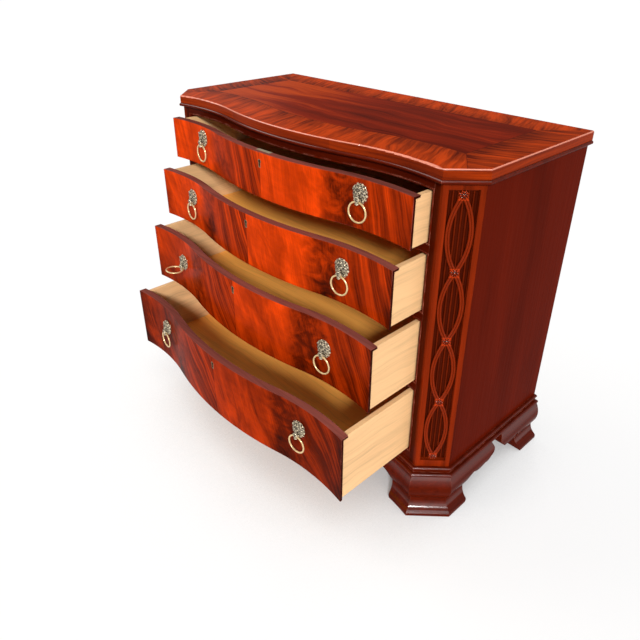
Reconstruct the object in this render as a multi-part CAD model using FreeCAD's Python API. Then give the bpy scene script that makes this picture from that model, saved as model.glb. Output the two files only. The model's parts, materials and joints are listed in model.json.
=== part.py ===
import FreeCAD, Part
import math
import os

# Serpentine-front chest of four drawers with canted corners, in millimetres.
# +Z is up and the front looks towards -Y.  Sizes are laid out from the middle
# of the front corner line of the case at floor level; the finished pieces are
# then moved so that the origin lies under the middle of the whole object.

# Case: plan line shared by the fronts, the cants, the sides and the mouldings
case_half_width = 528.0
case_depth = 475.0
cant_run = 60.0
serpentine_depth = 40.0
dip_share = 0.7436
crest_arc_share = 0.64

# Case: heights, from the floor up
foot_height = 123.0
bottom_rail_height = 56.5
opening_heights = [117.0, 141.0, 169.0, 188.0]
rail_height = 24.0
top_rail_height = 29.5

# Case: boards
stile_width = 21.5
bead_width = 3.0
bead_depth = 14.0
bead_proud = 2.0
rail_depth = 62.0
side_thickness = 20.0
back_thickness = 10.0
bottom_thickness = 18.0
runner_thickness = 18.0
runner_bearing = 34.0
guide_height = 30.0
guide_play = 1.0

# Top board and the bead moulding below it
top_thickness = 22.0
top_overhang = 7.0
top_back_overhang = 2.0
top_edge_round = 4.0
top_bead_height = 9.0
top_bead_out = 11.0

# Base moulding: two beads with a hollow between them
base_height = 25.0
base_bead_radius = 4.0
base_upper_out = 9.0
base_lower_radius = 4.5
base_lower_out = 15.0

# Ogee bracket feet: profile across the bracket
foot_inside = 22.0
foot_top_out = 11.0
foot_bulge_out = 21.5
foot_bulge_z = 94.0
foot_waist_out = 8.0
foot_waist_z = 46.0
foot_flare_out = 13.5
foot_flare_z = 23.0
foot_lip_out = 25.0
foot_lip_z = 12.0
foot_toe_out = 27.5
foot_toe_z = 8.5

# Ogee bracket feet: scalloped outline along the wall
front_leg_width = 129.0
rear_leg_width = 92.0
leg_neck_z = 55.0
leg_toe_taper = 10.0
leg_flare_share = 0.4
sweep_belly_share = 0.68
cusp_shares = [0.22, 0.64, 0.865]
cusp_z = [81.0, 76.0, 84.0]
lobe_drop = [9.0, 6.0]
nose_z = 105.0
nose_back = 8.0
rear_bracket_width = 100.0
rear_bracket_thickness = 16.0
foot_block_size = 46.0
bracket_gap = 34.0
front_bracket_share = 0.541

# Carved corner panels
panel_margin = 12.0
panel_depth = 6.0
panel_top_gap = 22.0
panel_bottom_gap = 44.0
flute_count = 6
flute_radius = 3.8
flute_end_gap = 4.0
oval_count = 4
oval_half_width = 23.5
ribbon_half_width = 3.8
ribbon_edge = 2.4
ribbon_ridge = 3.8
ribbon_tuck = 7.4
rosette_radius = 11.0
rosette_edge = 3.4
rosette_rim_height = 6.2
rosette_height = 7.2
rosette_eye_radius = 4.6
rosette_end_gap = 12.0

# Drawers
front_gap = 1.5
front_thickness = 20.0
front_lap = 6.5
front_overhang = 7.0
drawer_back_gap = 33.0
drawer_side_thickness = 12.0
drawer_side_drop = 5.0
drawer_back_thickness = 12.0
drawer_back_drop = 14.0
drawer_bottom_thickness = 6.0
drawer_bottom_lift = 10.0
drawer_pulled_out = [59.0, 109.0, 162.0, 242.0]

# Lion-mask ring pulls
pull_share = 0.6697
mask_above_middle = [25.0, 20.0, 12.0, 25.0]
mask_half_width = 21.0
mask_half_height = 24.5
mask_plate = 3.0
mask_seat_depth = 0.6
seat_play = 0.4
mane_lobes = 12
mane_radius = 5.5
mane_out = 1.5
face_radius = 15.0
face_height = 10.0
face_lift = 3.0
mouth_drop = 16.5
mouth_out = 11.0
muzzle_radius = 6.4
muzzle_half_width = 8.0
mouth_bore_radius = 4.3
ring_radius = 23.25
ring_wire_radius = 2.25
raised_ring_angle = 95.0
raised_ring_drawer = 2

# Keyhole escutcheons
keyhole_drop = 22.0
escutcheon_radius = 5.2
escutcheon_tail = 15.0
escutcheon_tail_half_width = 3.7
escutcheon_thickness = 3.0
keyhole_radius = 3.6
keyhole_slot_half_width = 2.1
keyhole_slot_length = 13.2
keyhole_depth = 9.0

# Lock of the top drawer
lock_half_width = 26.0
lock_height = 44.0
lock_thickness = 11.0
lock_proud = 1.5
bolt_half_width = 9.0
bolt_thickness = 5.0
bolt_length = 20.0
bolt_throw = 8.0
bolt_play = 0.3
bolt_set_back = 3.0

# Cutting tools run past the faces they cut by this much
overrun = 80.0

up = FreeCAD.Vector(0, 0, 1)
origin = FreeCAD.Vector(0, 0, 0)
across = FreeCAD.Vector(1, 0, 0)
inward = FreeCAD.Vector(0, 1, 0)
root_two = math.sqrt(2)

# Serpentine: a convex arc in the middle runs tangent into a concave arc at each end
corner_x = case_half_width - cant_run
dip_from_centre = corner_x * dip_share
arc_sum = (dip_from_centre ** 2 + serpentine_depth ** 2) / (2 * serpentine_depth)
crest_radius = arc_sum * crest_arc_share
dip_radius = arc_sum - crest_radius
dip_y = dip_radius - math.sqrt(dip_radius ** 2 - (corner_x - dip_from_centre) ** 2)
crest_centre_y = dip_y - serpentine_depth + crest_radius
dip_centre_y = dip_y - dip_radius
turn_sine = dip_from_centre / arc_sum

drawer_count = len(opening_heights)
rail_half_width = corner_x - stile_width
opening_half_width = rail_half_width - bead_width
front_half_width = opening_half_width - front_gap
box_half_width = front_half_width - front_overhang
box_inner_half_width = box_half_width - drawer_side_thickness
case_top_z = (foot_height + bottom_rail_height + sum(opening_heights)
              + rail_height * (drawer_count - 1) + top_rail_height)
inside_half_width = case_half_width - side_thickness
inside_back_y = case_depth - back_thickness
drawer_length = inside_back_y - drawer_back_gap
pull_from_centre = opening_half_width * pull_share

# The two brackets along a side share what the legs and the gap leave of it
bracket_sum = case_depth - bracket_gap - front_leg_width - rear_leg_width
front_bracket_run = bracket_sum * front_bracket_share
rear_bracket_run = bracket_sum - front_bracket_run


def vec(x, y, z):
    return FreeCAD.Vector(x, y, z)


def opening_top(index):
    return case_top_z - top_rail_height - sum(opening_heights[:index]) - rail_height * index


def opening_bottom(index):
    return opening_top(index) - opening_heights[index]


def front_y(x, inset):
    if abs(x) < (crest_radius - inset) * turn_sine:
        return crest_centre_y - math.sqrt((crest_radius - inset) ** 2 - x ** 2)
    return dip_centre_y + math.sqrt((dip_radius + inset) ** 2 - (abs(x) - dip_from_centre) ** 2)


def front_point(x, inset, z):
    return vec(x, front_y(x, inset), z)


def arc(first, middle, last):
    return Part.Arc(first, middle, last).toShape()


def front_edges(left_x, right_x, inset, z):
    """Front line from left to right, as the arcs it is made of."""
    turn = (crest_radius - inset) * turn_sine
    stops = [left_x]
    for stop in (-turn, turn):
        if left_x < stop < right_x:
            stops.append(stop)
    stops.append(right_x)
    edges = []
    for begin, end in zip(stops[:-1], stops[1:]):
        middle = front_point((begin + end) / 2, inset, z)
        edges.append(arc(front_point(begin, inset, z), middle, front_point(end, inset, z)))
    return edges


def prism(edges, height):
    return Part.Face(Part.Wire(Part.__sortEdges__(edges))).extrude(vec(0, 0, height))


def polygon(points):
    return Part.makePolygon(points + points[:1])


def plate(points, direction):
    return Part.Face(polygon(points)).extrude(direction)


def box(x_range, y_range, z_range):
    size = [high - low for low, high in (x_range, y_range, z_range)]
    return Part.makeBox(*size, vec(x_range[0], y_range[0], z_range[0]))


def mirrored(shape):
    return shape.mirror(origin, across)


def front_slab(half_width, front_inset, back_inset, z, height):
    """Board between two offsets of the front line."""
    front = front_edges(-half_width, half_width, front_inset, z)
    back = front_edges(-half_width, half_width, back_inset, z)
    ends = []
    for x in (-half_width, half_width):
        ends.append(Part.makeLine(front_point(x, front_inset, z), front_point(x, back_inset, z)))
    return prism(front + back + ends, height)


def front_backed(half_width, front_inset, back_y, z, height):
    """Board from an offset of the front line to a straight back edge."""
    front = front_edges(-half_width, half_width, front_inset, z)
    left, right = vec(-half_width, back_y, z), vec(half_width, back_y, z)
    lines = [Part.makeLine(front_point(-half_width, front_inset, z), left),
             Part.makeLine(left, right),
             Part.makeLine(right, front_point(half_width, front_inset, z))]
    return prism(front + lines, height)


def cant_corners(out):
    """Both ends of the right cant on the plan line moved outward by a distance."""
    shift = corner_x + out * root_two
    reach = shift - dip_from_centre
    b = reach - dip_centre_y
    c = reach ** 2 + dip_centre_y ** 2 - (dip_radius - out) ** 2
    y = (-b + math.sqrt(b ** 2 - 2 * c)) / 2
    side_x = case_half_width + out
    return (y + shift, y), (side_x, side_x - shift)


def plan_edges(out, back_y, z):
    """Plan line from the left back corner round the front to the right back corner."""
    (fx, fy), (sx, sy) = cant_corners(out)
    left = [vec(-sx, back_y, z), vec(-sx, sy, z), vec(-fx, fy, z)]
    right = [vec(fx, fy, z), vec(sx, sy, z), vec(sx, back_y, z)]
    lines = []
    for points in (left, right):
        for begin, end in zip(points[:-1], points[1:]):
            lines.append(Part.makeLine(begin, end))
    return lines[:2] + front_edges(-fx, fx, -out, z) + lines[2:]


def swept(path_edges, profile):
    shell = Part.Wire(path_edges).makePipeShell([profile], True, False, 1)
    return Part.makeSolid(shell) if shell.ShapeType != "Solid" else shell


def top_board():
    back_y = case_depth + top_back_overhang
    edges = plan_edges(top_overhang, back_y, case_top_z)
    side_x = case_half_width + top_overhang
    back = Part.makeLine(vec(side_x, back_y, case_top_z), vec(-side_x, back_y, case_top_z))
    board = prism(edges + [back], top_thickness)
    upper = []
    for edge in board.Edges:
        box_of = edge.BoundBox
        if box_of.ZMin > case_top_z + top_edge_round and box_of.YMin < back_y - top_edge_round:
            upper.append(edge)
    return board.makeFillet(top_edge_round, upper)


def top_bead():
    low = case_top_z - top_bead_height
    nose = top_bead_height / 2
    x = -case_half_width
    flat = x - top_bead_out + nose
    points = [vec(x, case_depth, low), vec(flat, case_depth, low),
              vec(flat - nose, case_depth, low + nose),
              vec(flat, case_depth, case_top_z), vec(x, case_depth, case_top_z)]
    profile = Part.Wire([Part.makeLine(points[0], points[1]), arc(points[1], points[2], points[3]),
                         Part.makeLine(points[3], points[4]), Part.makeLine(points[4], points[0])])
    return swept(plan_edges(0, case_depth, low), profile)


def base_moulding():
    x = -case_half_width
    top = foot_height + base_height
    upper_flat = x - base_upper_out + base_bead_radius
    upper_low = top - 2 * base_bead_radius
    lower_flat = x - base_lower_out + base_lower_radius
    lower_top = foot_height + 2 * base_lower_radius

    def at(px, pz):
        return vec(px, case_depth, pz)

    hollow = at(upper_flat, lower_top)
    profile = Part.Wire([
        Part.makeLine(at(x, foot_height), at(lower_flat, foot_height)),
        arc(at(lower_flat, foot_height), at(x - base_lower_out, foot_height + base_lower_radius),
            at(lower_flat, lower_top)),
        Part.makeLine(at(lower_flat, lower_top), hollow),
        Part.makeLine(hollow, at(upper_flat, upper_low)),
        arc(at(upper_flat, upper_low), at(x - base_upper_out, top - base_bead_radius),
            at(upper_flat, top)),
        Part.makeLine(at(upper_flat, top), at(x, top)),
        Part.makeLine(at(x, top), at(x, foot_height))])
    return swept(plan_edges(0, case_depth, foot_height), profile)


def foot_profile(place):
    """Ogee section: toe, lip, hollow flare, waist and bulge, with a plain inner face."""
    toe = [place(-foot_inside, 0), place(foot_toe_out, 0), place(foot_toe_out, foot_toe_z),
           place(foot_lip_out, foot_lip_z)]
    waist = place(foot_waist_out, foot_waist_z)
    top = place(foot_top_out, foot_height)
    inner_top = place(-foot_inside, foot_height)
    edges = [Part.makeLine(a, b) for a, b in zip(toe[:-1], toe[1:])]
    edges.append(arc(toe[-1], place(foot_flare_out, foot_flare_z), waist))
    edges.append(arc(waist, place(foot_bulge_out, foot_bulge_z), top))
    edges.append(Part.makeLine(top, inner_top))
    edges.append(Part.makeLine(inner_top, toe[0]))
    return Part.Wire(edges)


def bracket_cutter(leg_width, run, place, direction):
    """Solid that takes away everything below the scalloped outline of one bracket."""
    nose_tip = leg_width + run
    toe = place(leg_width - leg_toe_taper, 0)
    neck = place(leg_width, leg_neck_z)
    flare = place(leg_width - leg_toe_taper * leg_flare_share, leg_neck_z * leg_flare_share)
    stops = [leg_width + run * share for share in cusp_shares]
    cusps = [place(stop, z) for stop, z in zip(stops, cusp_z)]
    belly = place(leg_width + (stops[0] - leg_width) * (1 - sweep_belly_share),
                  leg_neck_z + (cusp_z[0] - leg_neck_z) * sweep_belly_share)
    edges = [arc(toe, flare, neck), arc(neck, belly, cusps[0])]
    for index, drop in enumerate(lobe_drop):
        low = place((stops[index] + stops[index + 1]) / 2, (cusp_z[index] + cusp_z[index + 1]) / 2 - drop)
        edges.append(arc(cusps[index], low, cusps[index + 1]))
    nose = place(nose_tip, nose_z)
    nose_low = place(stops[-1] + (nose_tip - stops[-1]) / root_two,
                     cusp_z[-1] + (nose_z - cusp_z[-1]) * (1 - 1 / root_two))
    nose_top = place(nose_tip - nose_back, foot_height)
    far_top = place(nose_tip + overrun, foot_height)
    far_low = place(nose_tip + overrun, 0)
    edges.append(arc(cusps[-1], nose_low, nose))
    outline = [nose, nose_top, far_top, far_low, toe]
    edges += [Part.makeLine(begin, end) for begin, end in zip(outline[:-1], outline[1:])]
    return Part.Face(Part.Wire(edges)).extrude(direction)


def front_foot():
    """Right front foot: brackets along the front, the cant and the side."""
    reach = front_leg_width + front_bracket_run
    inner_x = case_half_width - reach
    edges = front_edges(inner_x, corner_x, 0, 0)
    corner = vec(case_half_width, cant_run, 0)
    end = vec(case_half_width, reach, 0)
    edges.append(Part.makeLine(vec(corner_x, 0, 0), corner))
    edges.append(Part.makeLine(corner, end))
    begin = front_point(inner_x, 0, 0)
    heading = edges[0].tangentAt(edges[0].FirstParameter)
    outward = vec(heading.y, -heading.x, 0)

    def on_start(out, z):
        return begin + outward * out + vec(0, 0, z)

    foot = swept(edges, foot_profile(on_start))

    def on_front(along, z):
        return vec(case_half_width - along, -overrun, z)

    def on_side(along, z):
        return vec(case_half_width - overrun, along, z)

    foot = foot.cut(bracket_cutter(front_leg_width, front_bracket_run, on_front, inward * 2 * overrun))
    return foot.cut(bracket_cutter(front_leg_width, front_bracket_run, on_side, across * 2 * overrun))


def rear_foot():
    """Right rear foot: ogee bracket along the side and a plain bracket across the back."""
    reach = rear_leg_width + rear_bracket_run

    def on_back(out, z):
        return vec(case_half_width + out, case_depth, z)

    def on_side(along, z):
        return vec(case_half_width - overrun, case_depth - along, z)

    bracket = Part.Face(foot_profile(on_back)).extrude(inward * -reach)
    bracket = bracket.cut(bracket_cutter(rear_leg_width, rear_bracket_run, on_side, across * 2 * overrun))
    inner_x = case_half_width - foot_inside
    brace = box((inner_x - rear_bracket_width, inner_x),
                (case_depth - rear_bracket_thickness, case_depth), (0, foot_height))
    corner = vec(inner_x - rear_bracket_width, case_depth - rear_bracket_thickness, 0)
    slope = plate([corner, corner + across * (rear_bracket_width - foot_block_size),
                   corner + up * (foot_height - leg_neck_z)], inward * rear_bracket_thickness)
    return Part.makeCompound([bracket, brace.cut(slope)])


def foot_blocks():
    """Square glue blocks that carry the load inside each foot."""
    outer = case_half_width - foot_inside
    low_y = cant_corners(-foot_inside)[1][1]
    back_y = case_depth - rear_bracket_thickness
    solids = []
    for y in (low_y, back_y - foot_block_size):
        block = box((outer - foot_block_size, outer), (y, y + foot_block_size), (0, foot_height))
        solids += [block, mirrored(block)]
    return Part.makeCompound(solids)


def on_cant(shape):
    """Moves a piece drawn facing the front, with its left end at zero, onto the right cant."""
    shape = shape.copy()
    shape.rotate(origin, up, math.degrees(math.atan2(1, 1)))
    shape.translate(vec(corner_x, 0, 0))
    return shape


cant_width = cant_run * root_two
panel_low = foot_height + panel_bottom_gap
panel_high = case_top_z - panel_top_gap
flute_pitch = (cant_width - 2 * panel_margin) / flute_count


def corner_post():
    """Right corner post: plain front strip, canted face with a fluted sunk panel."""
    z = foot_height
    front = front_edges(rail_half_width, corner_x, 0, z)
    points = [vec(corner_x, 0, z), vec(case_half_width, cant_run, z),
              vec(rail_half_width, cant_run, z), front_point(rail_half_width, 0, z)]
    lines = [Part.makeLine(a, b) for a, b in zip(points[:-1], points[1:])]
    post = prism(front + lines, case_top_z - z)
    sunk = box((panel_margin, cant_width - panel_margin), (-overrun, panel_depth),
               (panel_low, panel_high))
    post = post.cut(on_cant(sunk))
    flutes = []
    for index in range(flute_count):
        x = panel_margin + flute_pitch * (index + 1 / 2)
        base = vec(x, panel_depth, panel_low + flute_end_gap)
        flutes.append(Part.makeCylinder(flute_radius, panel_high - panel_low - 2 * flute_end_gap, base))
    return post.cut(on_cant(Part.makeCompound(flutes)))


def ribbon(low, high, side):
    """Double-ridged ribbon bowing to one side between two rosettes."""
    half = (high - low) / 2
    radius = (oval_half_width ** 2 + half ** 2) / (2 * oval_half_width)
    centre_x = cant_width / 2 + side * (oval_half_width - radius)
    centre = vec(centre_x, panel_depth, low + half)
    sweep = math.degrees(math.asin((half - ribbon_tuck) / radius))
    mid = centre_x + side * radius

    def at(across_ribbon, height):
        return vec(mid + across_ribbon, panel_depth - height, low + half)

    w = ribbon_half_width
    profile = Part.Wire([
        Part.makeLine(at(-w, 0), at(-w, ribbon_edge)),
        arc(at(-w, ribbon_edge), at(-w / 2, ribbon_ridge), at(0, ribbon_edge)),
        arc(at(0, ribbon_edge), at(w / 2, ribbon_ridge), at(w, ribbon_edge)),
        Part.makeLine(at(w, ribbon_edge), at(w, 0)),
        Part.makeLine(at(w, 0), at(-w, 0))])
    face = Part.Face(profile)
    face.rotate(centre, inward, -sweep)
    return face.revolve(centre, inward, 2 * sweep)


def rosette(z):
    """Turned rosette: a rounded rim about a domed eye."""
    x = cant_width / 2

    def at(radius, height):
        return vec(x + radius, panel_depth - height, z)

    rim = (rosette_radius + rosette_eye_radius) / 2
    eye_rise = rosette_height - rosette_edge
    dome = (rosette_eye_radius ** 2 + eye_rise ** 2) / (2 * eye_rise)
    half_turn = math.asin(rosette_eye_radius / dome) / 2
    on_dome = at(dome * math.sin(half_turn), rosette_height - dome * (1 - math.cos(half_turn)))
    foot, edge = at(rosette_radius, 0), at(rosette_radius, rosette_edge)
    eye, apex = at(rosette_eye_radius, rosette_edge), at(0, rosette_height)
    profile = Part.Wire([
        Part.makeLine(at(0, 0), foot), Part.makeLine(foot, edge),
        arc(edge, at(rim, rosette_rim_height), eye), arc(eye, on_dome, apex),
        Part.makeLine(apex, at(0, 0))])
    return Part.Face(profile).revolve(at(0, 0), inward, 360)


def corner_carving():
    """Double-ridged ribbons in a chain of pointed ovals with a rosette at each crossing."""
    low = panel_low + rosette_end_gap
    high = panel_high - rosette_end_gap
    pitch = (high - low) / oval_count
    stops = [low + pitch * index for index in range(oval_count + 1)]
    pieces = [rosette(z) for z in stops]
    for begin, end in zip(stops[:-1], stops[1:]):
        pieces += [ribbon(begin, end, -1), ribbon(begin, end, 1)]
    chain = pieces[0]
    for piece in pieces[1:]:
        chain = chain.fuse(piece)
    return on_cant(chain)


def case_side():
    """Right side board behind the corner post."""
    return box((case_half_width - side_thickness, case_half_width), (cant_run, case_depth),
               (foot_height, case_top_z))


rail_back_y = front_y(0, 0) + rail_depth + serpentine_depth


def front_rail(low, high):
    return front_backed(rail_half_width, 0, rail_back_y, low, high - low)


def top_rail():
    rail = front_rail(case_top_z - top_rail_height + bead_width, case_top_z)
    y = bolt_middle_y()
    half = bolt_half_width + 2 * bolt_play
    thick = bolt_thickness / 2 + 2 * bolt_play
    mortise = box((-half, half), (y - thick, y + thick),
                  (case_top_z - overrun, case_top_z - top_rail_height + front_gap + bolt_throw))
    return rail.cut(mortise)


def drawer_dividers():
    solids = []
    for index in range(1, drawer_count):
        solids.append(front_rail(opening_top(index) + bead_width, opening_bottom(index - 1) - bead_width))
    return Part.makeCompound(solids)


def bottom_rail():
    return front_rail(foot_height, opening_bottom(drawer_count - 1) - bead_width)


def cock_beads():
    """Thin beads lining each drawer opening and standing proud of the case."""
    solids = []
    for index in range(drawer_count):
        low, high = opening_bottom(index), opening_top(index)
        for z in (low - bead_width, high):
            solids.append(front_slab(rail_half_width, -bead_proud, bead_depth, z, bead_width))
        front = front_edges(opening_half_width, rail_half_width, -bead_proud, low)
        back = front_edges(opening_half_width, rail_half_width, bead_depth, low)
        ends = []
        for x in (opening_half_width, rail_half_width):
            ends.append(Part.makeLine(front_point(x, -bead_proud, low), front_point(x, bead_depth, low)))
        upright = prism(front + back + ends, high - low)
        solids += [upright, mirrored(upright)]
    return Part.makeCompound(solids)


def bottom_board():
    return box((-inside_half_width, inside_half_width), (rail_back_y, inside_back_y),
               (foot_height, foot_height + bottom_thickness))


def back_panel():
    return box((-inside_half_width, inside_half_width), (inside_back_y, case_depth),
               (foot_height, case_top_z))


def drawer_runners():
    """Boards along each side that carry the drawer sides."""
    solids = []
    inner = box_half_width - runner_bearing
    for index in range(drawer_count):
        top = opening_bottom(index)
        runner = box((inner, inside_half_width), (rail_back_y, inside_back_y),
                     (top - runner_thickness, top))
        solids += [runner, mirrored(runner)]
    return Part.makeCompound(solids)


def drawer_guides():
    """Strips on the runners that keep each drawer straight."""
    solids = []
    for index in range(drawer_count):
        low = opening_bottom(index)
        guide = box((box_half_width + guide_play, inside_half_width), (rail_back_y, inside_back_y),
                    (low, low + guide_height))
        solids += [guide, mirrored(guide)]
    return Part.makeCompound(solids)


def pulled_out(shape, index):
    shape = shape.copy()
    shape.translate(vec(0, -drawer_pulled_out[index], 0))
    return shape


def pull_turn():
    """Turn of the front line where a pull sits, in degrees."""
    radial = vec(dip_from_centre - pull_from_centre, dip_radius, 0)
    return math.degrees(math.atan2(radial.x, math.sqrt(radial.y ** 2 - radial.x ** 2)))


def mask_z(index):
    return (opening_top(index) + opening_bottom(index)) / 2 + mask_above_middle[index]


def on_front(shape, index, side):
    """Moves a piece drawn facing the front onto the seat of one pull."""
    shape = shape.copy()
    shape.rotate(origin, up, side * pull_turn())
    seat = front_point(side * pull_from_centre, mask_seat_depth, mask_z(index))
    shape.translate(seat)
    return shape


def ellipse_prism(half_width, half_height, low_y, high_y):
    curve = Part.Ellipse(vec(0, low_y, half_height), vec(half_width, low_y, 0), vec(0, low_y, 0))
    return Part.Face(Part.Wire(curve.toShape())).extrude(inward * (high_y - low_y))


def lion_mask():
    """Cast mask facing -Y: mane of round locks, domed face and a muzzle bored for the ring."""
    ring_of_locks = (mask_half_width - mane_radius, mask_half_height - mane_radius)
    cast = ellipse_prism(ring_of_locks[0], ring_of_locks[1], -mask_plate, 0)
    sphere_radius = (face_radius ** 2 + face_height ** 2) / (2 * face_height)
    pieces = [Part.makeSphere(sphere_radius, vec(0, sphere_radius - face_height, face_lift))]
    for index in range(mane_lobes):
        turn = 2 * math.pi * (index + 1 / 2) / mane_lobes
        place = vec(ring_of_locks[0] * math.sin(turn), -mane_out, ring_of_locks[1] * math.cos(turn))
        pieces.append(Part.makeSphere(mane_radius, place))
    mouth = vec(-muzzle_half_width, -mouth_out, -mouth_drop)
    pieces.append(Part.makeCylinder(muzzle_radius, 2 * muzzle_half_width, mouth, across))
    pieces.append(box((-muzzle_half_width, muzzle_half_width), (-mouth_out, 0),
                      (-mouth_drop - muzzle_radius, -mouth_drop + muzzle_radius)))
    cast = cast.multiFuse(pieces)
    behind = box((-overrun, overrun), (0, overrun), (-overrun, overrun))
    bore_end = vec(-overrun, -mouth_out, -mouth_drop)
    bore = Part.makeCylinder(mouth_bore_radius, 2 * overrun, bore_end, across)
    return cast.cut(behind).cut(bore)


def pull_ring(raised):
    """Ring hanging through the muzzle, swung outward by an angle."""
    centre = vec(0, -mouth_out, -mouth_drop - ring_radius)
    ring = Part.makeTorus(ring_radius, ring_wire_radius, centre, inward)
    ring.rotate(vec(0, -mouth_out, -mouth_drop), across, -raised)
    return ring


def keyhole_outline(radius, tail_half_width, tail, y, centre_z):
    """Keyhole: a round head with a tail below it."""
    drop = math.sqrt(radius ** 2 - tail_half_width ** 2)
    left = vec(-tail_half_width, y, centre_z - drop)
    right = vec(tail_half_width, y, centre_z - drop)
    low_left = vec(-tail_half_width, y, centre_z - tail)
    low_right = vec(tail_half_width, y, centre_z - tail)
    edges = [arc(left, vec(0, y, centre_z + radius), right), Part.makeLine(right, low_right),
             Part.makeLine(low_right, low_left), Part.makeLine(low_left, left)]
    return Part.Face(Part.Wire(edges))


def escutcheon_blank(index):
    z = opening_top(index) - front_gap - keyhole_drop
    face = keyhole_outline(escutcheon_radius, escutcheon_tail_half_width, escutcheon_tail,
                           front_y(0, 0), z)
    return face.extrude(inward * escutcheon_thickness)


def keyhole_cut(index):
    z = opening_top(index) - front_gap - keyhole_drop
    y = front_y(0, 0)
    face = keyhole_outline(keyhole_radius, keyhole_slot_half_width, keyhole_slot_length,
                           y - keyhole_depth, z)
    return face.extrude(inward * 2 * keyhole_depth)


def escutcheon(index):
    return escutcheon_blank(index).cut(keyhole_cut(index))


def bolt_middle_y():
    back = front_y(0, front_thickness) + lock_proud
    return back - lock_thickness + bolt_set_back + bolt_thickness / 2


def lock_blank():
    back = front_y(0, front_thickness) + lock_proud
    top = opening_top(0) - front_gap
    return box((-lock_half_width, lock_half_width), (back - lock_thickness, back),
               (top - lock_height, top))


def lock_case():
    y = bolt_middle_y()
    top = opening_top(0) - front_gap
    half = bolt_half_width + bolt_play
    thick = bolt_thickness / 2 + bolt_play
    channel = box((-half, half), (y - thick, y + thick), (top - bolt_length - bolt_throw, top + overrun))
    return lock_blank().cut(channel)


def lock_bolt():
    y = bolt_middle_y()
    top = opening_top(0) - front_gap
    half = bolt_thickness / 2
    return box((-bolt_half_width, bolt_half_width), (y - half, y + half), (top - bolt_length, top))


def drawer_front(index):
    low = opening_bottom(index) + front_gap
    height = opening_heights[index] - 2 * front_gap
    front = front_slab(front_half_width, 0, front_thickness, low, height)
    seat = ellipse_prism(mask_half_width + seat_play, mask_half_height + seat_play, -overrun, 0)
    for side in (-1, 1):
        front = front.cut(on_front(seat, index, side))
    front = front.cut(escutcheon_blank(index)).cut(keyhole_cut(index))
    rebate = behind_lap(index, case_half_width)
    front = front.cut(rebate).cut(mirrored(rebate))
    if index == 0:
        front = front.cut(lock_blank())
    return front


def behind_lap(index, outer):
    """Room of the right drawer side, which runs forward to the lap left on the front."""
    low = opening_bottom(index)
    high = opening_top(index) - front_gap - drawer_side_drop
    room = box((box_inner_half_width, outer), (-overrun, drawer_length), (low, high))
    lap = front_slab(case_half_width, -2 * overrun, front_lap, low - overrun, high - low + 2 * overrun)
    return room.cut(lap)


def drawer_sides(index):
    side = behind_lap(index, box_half_width)
    return Part.makeCompound([side, mirrored(side)])


def drawer_bottom(index):
    low = opening_bottom(index) + drawer_bottom_lift
    back_y = drawer_length
    return front_backed(box_inner_half_width, front_thickness, back_y, low, drawer_bottom_thickness)


def drawer_back(index):
    low = opening_bottom(index) + drawer_bottom_lift + drawer_bottom_thickness
    high = opening_top(index) - front_gap - drawer_back_drop
    return box((-box_inner_half_width, box_inner_half_width),
               (drawer_length - drawer_back_thickness, drawer_length), (low, high))


def carcass_pieces():
    foot, hind = front_foot(), rear_foot()
    post, carving, side = corner_post(), corner_carving(), case_side()
    return {
        "top_board": top_board(), "top_bead": top_bead(), "base_moulding": base_moulding(),
        "side_left": mirrored(side), "side_right": side,
        "corner_post_left": mirrored(post), "corner_post_right": post,
        "corner_carving_left": mirrored(carving), "corner_carving_right": carving,
        "top_rail": top_rail(), "drawer_dividers": drawer_dividers(), "bottom_rail": bottom_rail(),
        "cock_beads": cock_beads(), "bottom_board": bottom_board(), "back_panel": back_panel(),
        "drawer_runners": drawer_runners(), "drawer_guides": drawer_guides(),
        "foot_front_left": mirrored(foot), "foot_front_right": foot,
        "foot_rear_left": mirrored(hind), "foot_rear_right": hind, "foot_blocks": foot_blocks(),
    }


def drawer_pieces(index):
    name = "drawer_%d_" % (index + 1)
    mask = lion_mask()
    pieces = {
        name + "front": drawer_front(index), name + "sides": drawer_sides(index),
        name + "bottom": drawer_bottom(index), name + "back": drawer_back(index),
        name + "escutcheon": escutcheon(index),
        name + "masks": Part.makeCompound([on_front(mask, index, -1), on_front(mask, index, 1)]),
    }
    for label, side in (("ring_left", -1), ("ring_right", 1)):
        raised = raised_ring_angle if index == raised_ring_drawer and side < 0 else 0
        pieces[name + label] = on_front(pull_ring(raised), index, side)
    if index == 0:
        pieces[name + "lock_case"] = lock_case()
        pieces[name + "lock_bolt"] = lock_bolt()
    return {key: pulled_out(shape, index) for key, shape in pieces.items()}


def main():
    pieces = carcass_pieces()
    for index in range(drawer_count):
        pieces.update(drawer_pieces(index))
    whole = Part.makeCompound(list(pieces.values())).optimalBoundingBox(False, False)
    move = vec(0, -whole.Center.y, 0)
    os.makedirs("parts", exist_ok=True)
    for name, shape in pieces.items():
        shape.translate(move)
        shape.exportStep("parts/%s.step" % name)


main()
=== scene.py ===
"""Looks of a serpentine chest of drawers: veneers, carved corners, brass pulls and a plain studio."""

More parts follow.
